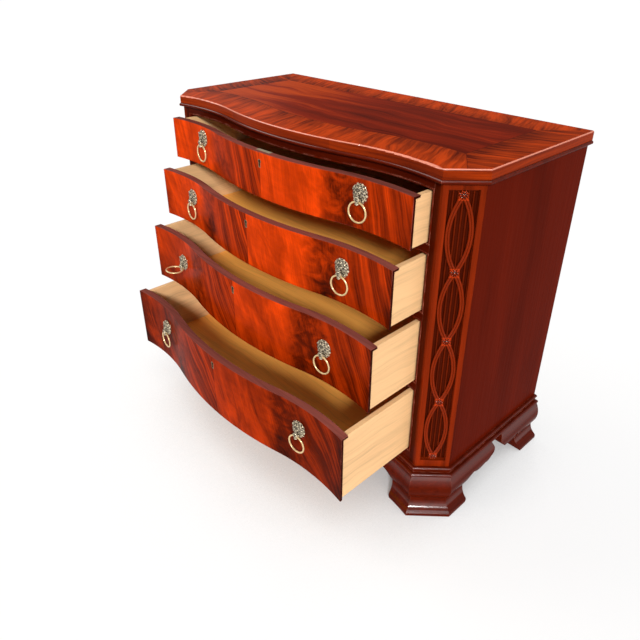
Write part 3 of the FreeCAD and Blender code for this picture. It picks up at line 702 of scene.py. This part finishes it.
# Each step of a lock of hair and the width that it ends with
LOCK_STEPS = (((0.10, -0.10, 0.9), 1.28), ((0.22, -0.12, 1.0), 1.30), ((0.30, 0.0, 0.9), 1.10),
              ((0.24, 0.10, 0.8), 0.82), ((-0.10, 0.14, 0.6), 0.48), ((-0.30, 0.10, 0.35), 0.18))


def curled_lock():
    """One lock of hair: a disc drawn out in steps into a curling, pointed tongue."""
    bpy.ops.mesh.primitive_circle_add(vertices=10, radius=1.0, fill_type="NGON")
    lock = bpy.context.object
    edit_all()
    spot = Vector((0.0, 0.0, 0.0))
    width = 1.0
    for step, next_width in LOCK_STEPS:
        bpy.ops.mesh.extrude_region_move(TRANSFORM_OT_translate={"value": step})
        spot += Vector(step)
        share = next_width / width
        bpy.ops.transform.resize(value=(share, share, 1.0), center_override=spot)
        width = next_width
    edit_done()
    return lock


def lock_row(lock, count, first, last, reach, lift, size, tilt):
    """Copies of a lock set out on an oval between two angles from the top of the head."""
    row = []
    for index in range(count):
        angle = first + (last - first) * index / (count - 1)
        take(lock)
        bpy.ops.object.duplicate(linked=False)
        copy = bpy.context.object
        copy.location = (reach[0] * math.sin(angle), lift, reach[1] * math.cos(angle) + reach[2])
        copy.rotation_euler = (tilt, angle, 0.0)
        curl = -1.0 if math.sin(angle) < 0.0 else 1.0
        grow = 1.0 + 0.10 * math.sin(index * 2.4)
        copy.scale = (size[0] * curl, size[1], size[2] * grow)
        row.append(copy)
    return row


def mane(locks):
    """Three rows of locks: a full outer row, a shorter one above it and a fringe on the brow."""
    lock = curled_lock()
    step = 2.0 * math.pi / locks
    outer = lock_row(lock, locks, step / 2, 2.0 * math.pi - step / 2,
                     reach=(13.0, 16.4, 0.0), lift=-2.6, size=(2.95, 2.2, 1.64), tilt=0.04)
    upper = lock_row(lock, UPPER_LOCKS, -UPPER_SPREAD, UPPER_SPREAD,
                     reach=(9.2, 11.2, 2.2), lift=-5.8, size=(2.65, 2.1, 1.64), tilt=-0.08)
    fringe = lock_row(lock, FRINGE_LOCKS, -FRINGE_SPREAD, FRINGE_SPREAD,
                      reach=(6.0, 5.4, 6.8), lift=-9.0, size=(2.1, 1.7, 1.28), tilt=-0.16)
    bpy.data.objects.remove(lock)
    return outer + upper + fringe


def lion_face():
    """Lumps of the face: skull, brows, cheeks, nose and a muzzle deep enough to be bored."""
    plate = lump((0, -0.6, 0), (18.4, 3.0, 21.8), segments=32, rings=20)
    skull = lump((0, -3.0, 3.0), (11.4, 8.4, 12.8), segments=28, rings=20)
    forehead = lump((0, -8.6, 9.2), (6.4, 3.4, 4.2))
    bridge = lump((0, -11.6, 2.4), (3.3, 2.7, 6.6), (-0.34, 0, 0))
    nose = lump((0, -12.2, -4.6), (4.6, 3.6, 4.2))
    tip = lump((0, -15.0, -5.6), (4.0, 2.1, 2.0))
    muzzle = lump((0, -10.4, -14.4), (7.6, 6.3, 8.2), segments=28, rings=20)
    chin = lump((0, -13.4, -21.0), (4.7, 3.2, 2.3))
    brows = both_sides((4.7, -10.9, 6.3), (4.2, 1.8, 1.6), (0, -0.34, 0.12))
    cheeks = both_sides((7.6, -7.0, -2.6), (4.4, 3.6, 5.8), (0, 0.25, 0))
    lips = both_sides((3.5, -14.0, -10.4), (4.0, 3.1, 4.2), (0, -0.25, 0))
    ears = both_sides((11.2, -7.2, 13.0), (2.9, 2.4, 3.5), (0, 0.5, 0))
    middle = [plate, skull, forehead, bridge, nose, tip, muzzle, chin]
    return middle + brows + cheeks + lips + ears


def face_hollows():
    """Everything that is cut in: eye sockets, nostrils, ears, the mouth and the bore for the ring."""
    sockets = both_sides((5.0, -12.4, 3.2), (3.0, 2.6, 2.0), (0, -0.15, 0))
    nostrils = both_sides((1.8, -17.0, -6.2), (0.9, 1.0, 0.7))
    ears = both_sides((11.5, -9.6, 13.4), (1.5, 1.6, 2.1), (0, 0.5, 0))
    mouth = both_sides((2.5, -17.2, -17.4), (3.2, 1.9, 0.8), (0, 0.22, 0))
    cleft = lump((0, -17.6, -11.0), (0.55, 1.3, 3.6))
    bpy.ops.mesh.primitive_cylinder_add(vertices=40, radius=MOUTH_BORE_MM, depth=44.0, location=MOUTH_MM,
                                        rotation=(0, math.pi / 2, 0))
    bore = bpy.context.object
    return sockets + nostrils + ears + mouth + [cleft, bore]


def flat_back(piece):
    """Cuts a casting off flat where it meets the drawer front."""
    take(piece)
    edit_all()
    bpy.ops.mesh.bisect(plane_co=(0, 0, 0), plane_no=(0, 1, 0), use_fill=True, clear_outer=True)
    edit_done()


def mark_hollows(piece):
    """Stores how hollow or high each place of a carved piece is."""
    take(piece)
    layer = piece.data.color_attributes.new(HOLLOW_LAYER, "FLOAT_COLOR", "POINT")
    piece.data.color_attributes.active_color = layer
    bpy.ops.object.mode_set(mode="VERTEX_PAINT")
    bpy.ops.paint.vertex_color_dirt(blur_strength=1.0, blur_iterations=5, clean_angle=math.pi,
                                    dirt_angle=0.0)
    edit_done()


def lion_mask(brass):
    """The mask in mm, facing -Y, its back flat on the drawer front."""
    head = joined(lion_face() + mane(brass.locks), "lion_mask")
    modify(head, "REMESH", mode="VOXEL", voxel_size=brass.grain_mm)
    modify(head, "SMOOTH", factor=0.5, iterations=4)
    cut_away(head, face_hollows())
    eyes = both_sides((4.9, -10.2, 3.1), (1.9, 1.7, 1.35), (0, -0.15, 0))
    head = joined([head] + eyes, "lion_mask")
    modify(head, "REMESH", mode="VOXEL", voxel_size=brass.grain_mm)
    modify(head, "SMOOTH", factor=0.5, iterations=3)
    flat_back(head)
    modify(head, "DECIMATE", ratio=0.5)
    mark_hollows(head)
    return head


def copy_of(piece, name, matrix):
    """A copy with its own mesh, placed by moving the mesh."""
    twin = piece.copy()
    twin.data = piece.data.copy()
    twin.name = name
    bpy.context.scene.collection.objects.link(twin)
    twin.data.transform(matrix)
    return twin


def smooth(piece, degrees=40.0):
    take(piece)
    bpy.ops.object.shade_smooth_by_angle(angle=math.radians(degrees))


def wear(piece, material):
    piece.data.materials.clear()
    piece.data.materials.append(material)


def swing_joint(drawer, side):
    name = "%s_ring_%s_swing" % (drawer, side)
    return next(joint for joint in frame["joints"] if joint["name"] == name)


def turn_of(joint):
    """Turn about the upright that sets a pull square to the front where it sits."""
    axis = Vector(joint["axis"])
    return Matrix.Rotation(math.atan2(-axis.y, -axis.x), 4, "Z")


def mask_matrix(drawer, side):
    """From a mask in mm to its seat, found from the hinge of the ring in its mouth."""
    joint = swing_joint(drawer, side)
    turn = turn_of(joint)
    mouth = turn @ (MOUTH_MM * MM)
    return Matrix.Translation(Vector(joint["pos_m"]) - mouth) @ turn @ Matrix.Scale(MM, 4)


def pull_ring():
    """Ring of a pull in mm, hung from its hinge at the origin: a flattened disc spun once round."""
    bpy.ops.mesh.primitive_circle_add(vertices=16, radius=RING_WIRE_MM, location=(RING_MM, 0, -RING_MM))
    ring = bpy.context.object
    bpy.ops.object.transform_apply(location=True, rotation=True, scale=True)
    edit_all()
    bpy.ops.transform.resize(value=(0.97, 0.90, 1.0), center_override=(RING_MM, 0, -RING_MM))
    bpy.ops.mesh.spin(steps=72, angle=2 * math.pi, center=(0, 0, -RING_MM), axis=(0, 1, 0))
    bpy.ops.mesh.select_all(action="SELECT")
    bpy.ops.mesh.remove_doubles(threshold=0.001)
    bpy.ops.mesh.normals_make_consistent(inside=False)
    edit_done()
    return ring


def ring_matrix(drawer, side):
    """From a hanging ring in mm to its place; a ring found raised is turned up about its hinge."""
    joint = swing_joint(drawer, side)
    raised = HANG_LIMIT - math.radians(joint["range_deg"][0])
    turn = Matrix.Rotation(raised, 4, Vector(joint["axis"]))
    level = turn_of(joint)
    return Matrix.Translation(Vector(joint["pos_m"])) @ turn @ level @ Matrix.Scale(MM, 4)


def petal(reach, lift, angle, radii, tilt):
    """One petal of a rosette at an angle from the top, in mm."""
    return lump((reach * math.sin(angle), lift, reach * math.cos(angle)), radii, (tilt, angle, 0))


def rosette():
    """Eight-petalled rosette in mm, facing -Y: two rows of petals round a ringed eye."""
    pieces = [lump((0, -1.6, 0), (9.6, 3.4, 9.6), segments=28, rings=16),
              lump((0, -5.3, 0), (3.2, 1.8, 3.2), segments=20, rings=14)]
    for index in range(PETALS):
        angle = index * 2 * math.pi / PETALS
        pieces.append(petal(5.9, -4.2, angle, (2.15, 1.7, 3.0), 0.22))
        pieces.append(petal(8.0, -2.9, angle + math.pi / PETALS, (2.1, 1.6, 2.8), 0.0))
    bpy.ops.mesh.primitive_torus_add(major_radius=3.6, minor_radius=0.6, major_segments=28,
                                     minor_segments=8, location=(0, -5.5, 0), rotation=(math.pi / 2, 0, 0))
    pieces.append(bpy.context.object)
    flower = joined(pieces, "rosette")
    modify(flower, "REMESH", mode="VOXEL", voxel_size=0.40)
    modify(flower, "SMOOTH", factor=0.4, iterations=1)
    flat_back(flower)
    modify(flower, "DECIMATE", ratio=0.5)
    return flower


def reed(low, high, side, offset):
    """One ridge of a ribbon: a disc spun along the arc between two rosettes."""
    half = (high - low) / 2
    radius = (RIBBON_BOW_MM * RIBBON_BOW_MM + half * half) / (2 * RIBBON_BOW_MM)
    centre = Vector((CANT_WIDTH_MM / 2 + side * (RIBBON_BOW_MM - radius),
                     PANEL_DEPTH_MM - RIBBON_SINK_MM, low + half))
    sweep = math.asin((half - RIBBON_GAP_MM) / radius)
    start = sweep * side
    reach = radius + offset
    spot = centre + Vector((side * reach * math.cos(start), 0.0, -side * reach * math.sin(start)))
    bpy.ops.mesh.primitive_circle_add(vertices=12, radius=REED_RADIUS_MM, fill_type="NGON", location=spot,
                                      rotation=(0, start, 0))
    ridge = bpy.context.object
    ridge.scale = (1.0, 1.2, 1.0)
    bpy.ops.object.transform_apply(location=True, rotation=True, scale=True)
    edit_all()
    bpy.ops.mesh.spin(steps=26, angle=2 * sweep, center=centre, axis=(0, side, 0))
    bpy.ops.mesh.select_all(action="SELECT")
    bpy.ops.mesh.remove_doubles(threshold=0.001)
    bpy.ops.mesh.fill_holes(sides=0)
    bpy.ops.mesh.normals_make_consistent(inside=False)
    edit_done()
    return ridge


def carved_chain():
    """Ribbons in pointed ovals with a rosette at each crossing, in mm, as it faces the carver."""
    pitch = (CHAIN_HIGH_MM - CHAIN_LOW_MM) / CHAIN_OVALS
    stops = [CHAIN_LOW_MM + pitch * index for index in range(CHAIN_OVALS + 1)]
    flower = rosette()
    pieces = []
    for stop in stops:
        spot = Matrix.Translation((CANT_WIDTH_MM / 2, PANEL_DEPTH_MM, stop))
        pieces.append(copy_of(flower, "rosette_at_crossing", spot))
    bpy.data.objects.remove(flower)
    for begin, end in zip(stops[:-1], stops[1:]):
        for side in (-1, 1):
            pieces.append(reed(begin, end, side, REED_OFFSET_MM))
            pieces.append(reed(begin, end, side, -REED_OFFSET_MM))
    return joined(pieces, "carved_chain")


def cant_matrix(side):
    """From the carver's bench to the right or left cant."""
    turn = Matrix.Rotation(math.pi / 4, 4, "Z")
    right = Matrix.Translation((CANT_X, CANT_Y, 0.0)) @ turn @ Matrix.Scale(MM, 4)
    return right if side == "right" else Matrix.Scale(-1.0, 4, (1.0, 0.0, 0.0)) @ right


class CHEST_OT_top_board(bpy.types.Operator):
    """Veneers the top board and its bead"""
    bl_idname = "chest.top_board"
    bl_label = "Top board"

    def execute(self, context):
        wood = context.scene.chest_wood
        dress(top_veneer(wood), "top_board")
        dress(solid_mahogany("top_bead_wood", wood, 1.15, along=0, wear=0.7), "top_bead")
        return {"FINISHED"}


class CHEST_OT_case(bpy.types.Operator):
    """Polishes the sides, posts, rails, beads, base moulding and feet"""
    bl_idname = "chest.case"
    bl_label = "Case"

    def execute(self, context):
        wood = context.scene.chest_wood
        dress(side_veneer(wood), "side_left", "side_right")
        dress(corner_post(wood), "corner_post_left", "corner_post_right")
        rails = solid_mahogany("rail_wood", wood, 0.95, along=0)
        dress(rails, "top_rail", "drawer_dividers", "bottom_rail")
        dress(solid_mahogany("cock_bead_wood", wood, 1.35, along=0, wear=0.8), "cock_beads")
        dress(solid_mahogany("base_wood", wood, 1.0, along=0, wear=0.7), "base_moulding")
        feet = solid_mahogany("foot_wood", wood, 1.0, along=1)
        dress(feet, "foot_front_left", "foot_front_right", "foot_rear_left", "foot_rear_right")
        return {"FINISHED"}


class CHEST_OT_corner_carving(bpy.types.Operator):
    """Carves the chains of ribbons and rosettes on the two cants"""
    bl_idname = "chest.corner_carving"
    bl_label = "Corner carving"

    def execute(self, context):
        chain = carved_chain()
        mark_hollows(chain)
        finish = carved_wood(context.scene.chest_wood)
        for side in SIDES:
            piece = copy_of(chain, "carved_chain_%s" % side, cant_matrix(side))
            if side == "left":
                outward_again(piece)
            smooth(piece)
            wear(piece, finish)
            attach(piece, "carcass")
            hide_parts("corner_carving_%s" % side)
        bpy.data.objects.remove(chain)
        return {"FINISHED"}


class CHEST_OT_drawer_fronts(bpy.types.Operator):
    """Veneers the four drawer fronts"""
    bl_idname = "chest.drawer_fronts"
    bl_label = "Drawer fronts"

    def execute(self, context):
        dress(front_veneer(context.scene.chest_wood), *of_drawers("front"))
        return {"FINISHED"}


class CHEST_OT_drawer_boxes(bpy.types.Operator):
    """Finishes the sides, bottoms and backs of the drawers"""
    bl_idname = "chest.drawer_boxes"
    bl_label = "Drawer boxes"

    def execute(self, context):
        wood = context.scene.chest_wood
        dress(pale_wood("drawer_side_wood", wood.birch, 1, 2, 0), *of_drawers("sides"))
        dress(pale_wood("drawer_bottom_wood", wood.inside, 0, 1, 2), *of_drawers("bottom"))
        dress(pale_wood("drawer_back_wood", wood.birch, 0, 2, 1), *of_drawers("back"))
        return {"FINISHED"}


class CHEST_OT_hidden_wood(bpy.types.Operator):
    """Finishes the back, the bottom, the runners and the foot blocks"""
    bl_idname = "chest.hidden_wood"
    bl_label = "Hidden wood"

    def execute(self, context):
        wood = context.scene.chest_wood
        dress(pale_wood("back_wood", wood.hidden, 2, 0, 1, ROUGH_SAWN), "back_panel")
        dress(pale_wood("bottom_wood", wood.hidden, 0, 1, 2, ROUGH_SAWN), "bottom_board")
        dress(pale_wood("runner_wood", wood.hidden, 1, 2, 0, ROUGH_SAWN),
              "drawer_runners", "drawer_guides", "foot_blocks")
        return {"FINISHED"}


class CHEST_OT_lion_masks(bpy.types.Operator):
    """Models one lion mask and sets a pair on each drawer"""
    bl_idname = "chest.lion_masks"
    bl_label = "Lion masks"

    def execute(self, context):
        brass = context.scene.chest_brass
        mask = lion_mask(brass)
        finish = old_brass("mask_brass", brass.metal, brass.patina, polish=1.0, lacquer=0.50, cast=True)
        for drawer, side in PULLS:
            piece = copy_of(mask, "%s_lion_mask_%s" % (drawer, side), mask_matrix(drawer, side))
            smooth(piece, 60.0)
            wear(piece, finish)
            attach(piece, drawer)
            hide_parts(drawer + "_masks")
        bpy.data.objects.remove(mask)
        return {"FINISHED"}


class CHEST_OT_small_brass(bpy.types.Operator):
    """Finishes the keyhole plates and the lock"""
    bl_idname = "chest.small_brass"
    bl_label = "Keyholes and lock"

    def execute(self, context):
        brass = context.scene.chest_brass
        # Keyhole plates darkened as painted shade standing in for the dark keyholes, with some tarnish of
        # their own
        plates_painted_dark = old_brass("plate_brass", scaled(brass.wire, 0.38), brass.patina, polish=0.30)
        dress(plates_painted_dark, *of_drawers("escutcheon"))
        lock = old_brass("lock_brass", brass.metal, brass.wire, polish=0.9, lacquer=0.4)
        dress(lock, "drawer_1_lock_case", "drawer_1_lock_bolt")
        return {"FINISHED"}


class CHEST_OT_rings(bpy.types.Operator):
    """Models one ring and hangs a copy in each mask"""
    bl_idname = "chest.rings"
    bl_label = "Rings"

    def execute(self, context):
        ring = pull_ring()
        brass = context.scene.chest_brass
        finish = old_brass("ring_brass", brass.wire, brass.patina, polish=0.85, lacquer=0.45)
        for drawer, side in PULLS:
            node = "%s_ring_%s" % (drawer, side)
            piece = copy_of(ring, node + "_wire", ring_matrix(drawer, side))
            smooth(piece, 60.0)
            wear(piece, finish)
            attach(piece, node)
            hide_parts(node)
        bpy.data.objects.remove(ring)
        return {"FINISHED"}


WHITE = (1.0, 1.0, 1.0)
FLOOR_SIZE = 120.0
FLOOR_GLOW = 0.62
# Painted shadow: the colour that the floor's white glow fades to near the chest, and how far that reaches
PAINTED_SHADOW = (0.22, 0.22, 0.225)
PAINTED_SHADOW_REACH = 0.42


def floor_finish(stage):
    """Pale floor: matt with its real shadow, under a white glow for camera and mirror rays, white in the
    open and darkened by a painted shadow near the chest.
    """
    finish = Finish("studio_floor")
    seen, mirrored, through = finish.node("ShaderNodeLightPath", out=(
        "Is Camera Ray", "Is Glossy Ray", "Is Transmission Ray"))
    share = (seen + mirrored + through).least(1.0) * FLOOR_GLOW
    # The white glow carries a painted shadow where the floor is shut in by the chest
    clear_of_painted_shadow = finish.rise(finish.openness(PAINTED_SHADOW_REACH, alone=False), 0.08, 0.80)
    matt = finish.node("ShaderNodeBsdfDiffuse", sockets={"Color": tuple(stage.floor)})
    white = finish.node("ShaderNodeEmission", sockets={
        "Color": finish.blend(PAINTED_SHADOW, WHITE, clear_of_painted_shadow), "Strength": 1.0})
    finish.node("ShaderNodeOutputMaterial", sockets={"Surface": finish.over(matt, white, share)})
    return finish.owner


def sun(name, towards, strength, angle):
    """A broad lamp far away, shining from a direction."""
    data = bpy.data.lights.new(name, "SUN")
    data.energy = strength
    data.angle = math.radians(angle)
    lamp = bpy.data.objects.new(name, data)
    bpy.context.scene.collection.objects.link(lamp)
    lamp.rotation_euler = Vector(towards).to_track_quat("Z", "Y").to_euler()
    lamp.location = Vector(towards) * 4.0


# Lamps: the direction that they shine from, strength and angle in degrees
LAMPS = {
    "key_light": ((0.641, -0.589, 0.486), 3.60, 10.0),
    "upper_light": ((0.33, -0.18, 0.925), 0.40, 24.0),
}
AIR = (1.0, 0.985, 0.965)
DIM = 0.12
OVERHEAD = 0.20
# Windows: the direction of the middle, the cosine at the edge and the strength
WINDOW_SOFTNESS = 40.0
WINDOWS = (
    (Vector((-0.90, 0.35, 0.26)), 0.94, 0.2),
    (Vector((0.70, -0.69, 0.16)), 0.955, 2.2),
    (Vector((-0.75, -0.30, 0.59)), 0.95, 3.2),
)


def studio_air(world):
    """Dim air, lighter overhead, with soft windows; the camera sees plain white in its place."""
    air = Finish(world)

    def shining(strength):
        return air.node("ShaderNodeBackground", sockets={"Color": AIR, "Strength": strength})

    x, y, height = air.parts(air.node("ShaderNodeTexCoord", out="Generated"))
    light = air.over(shining(DIM), shining(DIM + OVERHEAD), height.most(0.0))
    for towards, edge, strength in WINDOWS:
        facing = x * towards.x + y * towards.y + height * towards.z
        shine = ((facing - edge) * WINDOW_SOFTNESS).most(0.0).least(1.0)
        light = air.over(light, shining(DIM + OVERHEAD * towards.z + strength), shine)
    white = air.node("ShaderNodeBackground", sockets={"Color": WHITE, "Strength": 1.0})
    seen, through = air.node("ShaderNodeLightPath", out=("Is Camera Ray", "Is Transmission Ray"))
    background = air.over(light, white, (seen + through).least(1.0))
    air.node("ShaderNodeOutputWorld", sockets={"Surface": background})


class CHEST_OT_stage(bpy.types.Operator):
    """Sets the floor, the light and the camera"""
    bl_idname = "chest.stage"
    bl_label = "Studio"

    def execute(self, context):
        stage = context.scene.chest_stage
        bpy.ops.mesh.primitive_plane_add(size=FLOOR_SIZE, location=(0.0, 0.0, 0.0))
        ground = context.object
        ground.name = "studio_floor"
        wear(ground, floor_finish(stage))
        for name, lamp in LAMPS.items():
            sun(name, *lamp)
        world = context.scene.world or bpy.data.worlds.new("studio")
        context.scene.world = world
        studio_air(world)
        data = bpy.data.cameras.new("camera")
        data.sensor_fit = "HORIZONTAL"
        data.sensor_width = 36.0
        data.lens = stage.lens
        data.shift_y = stage.rise
        data.clip_end = 2 * FLOOR_SIZE
        camera = bpy.data.objects.new("camera", data)
        context.scene.collection.objects.link(camera)
        camera.location = stage.eye
        camera.rotation_euler = (math.pi / 2 - stage.pitch, 0.0, stage.yaw)
        context.scene.camera = camera
        context.scene.view_settings.view_transform = "Standard"
        return {"FINISHED"}


STEPS = (CHEST_OT_top_board, CHEST_OT_case, CHEST_OT_corner_carving, CHEST_OT_drawer_fronts,
         CHEST_OT_drawer_boxes, CHEST_OT_hidden_wood, CHEST_OT_lion_masks, CHEST_OT_rings,
         CHEST_OT_small_brass, CHEST_OT_stage)


class CHEST_PT_panel(bpy.types.Panel):
    """Sizes, colours and steps of the chest"""
    bl_label = "Chest of drawers"
    bl_idname = "CHEST_PT_panel"
    bl_space_type = "VIEW_3D"
    bl_region_type = "UI"
    bl_category = "Chest"

    def draw(self, context):
        for group in (context.scene.chest_wood, context.scene.chest_brass, context.scene.chest_stage):
            box = self.layout.box()
            for name in group.__annotations__:
                box.prop(group, name)
        for step in STEPS:
            self.layout.operator(step.bl_idname)


CLASSES = (ChestWood, ChestBrass, ChestStage, *STEPS, CHEST_PT_panel)


def register():
    for cls in CLASSES:
        bpy.utils.register_class(cls)
    bpy.types.Scene.chest_wood = PointerProperty(type=ChestWood)
    bpy.types.Scene.chest_brass = PointerProperty(type=ChestBrass)
    bpy.types.Scene.chest_stage = PointerProperty(type=ChestStage)


def unregister():
    del bpy.types.Scene.chest_stage
    del bpy.types.Scene.chest_brass
    del bpy.types.Scene.chest_wood
    for cls in reversed(CLASSES):
        bpy.utils.unregister_class(cls)


def main():
    register()
    bpy.ops.chest.top_board()
    bpy.ops.chest.case()
    bpy.ops.chest.corner_carving()
    bpy.ops.chest.drawer_fronts()
    bpy.ops.chest.drawer_boxes()
    bpy.ops.chest.hidden_wood()
    bpy.ops.chest.lion_masks()
    bpy.ops.chest.rings()
    bpy.ops.chest.small_brass()
    bpy.ops.chest.stage()


if __name__ == "__main__":
    main()
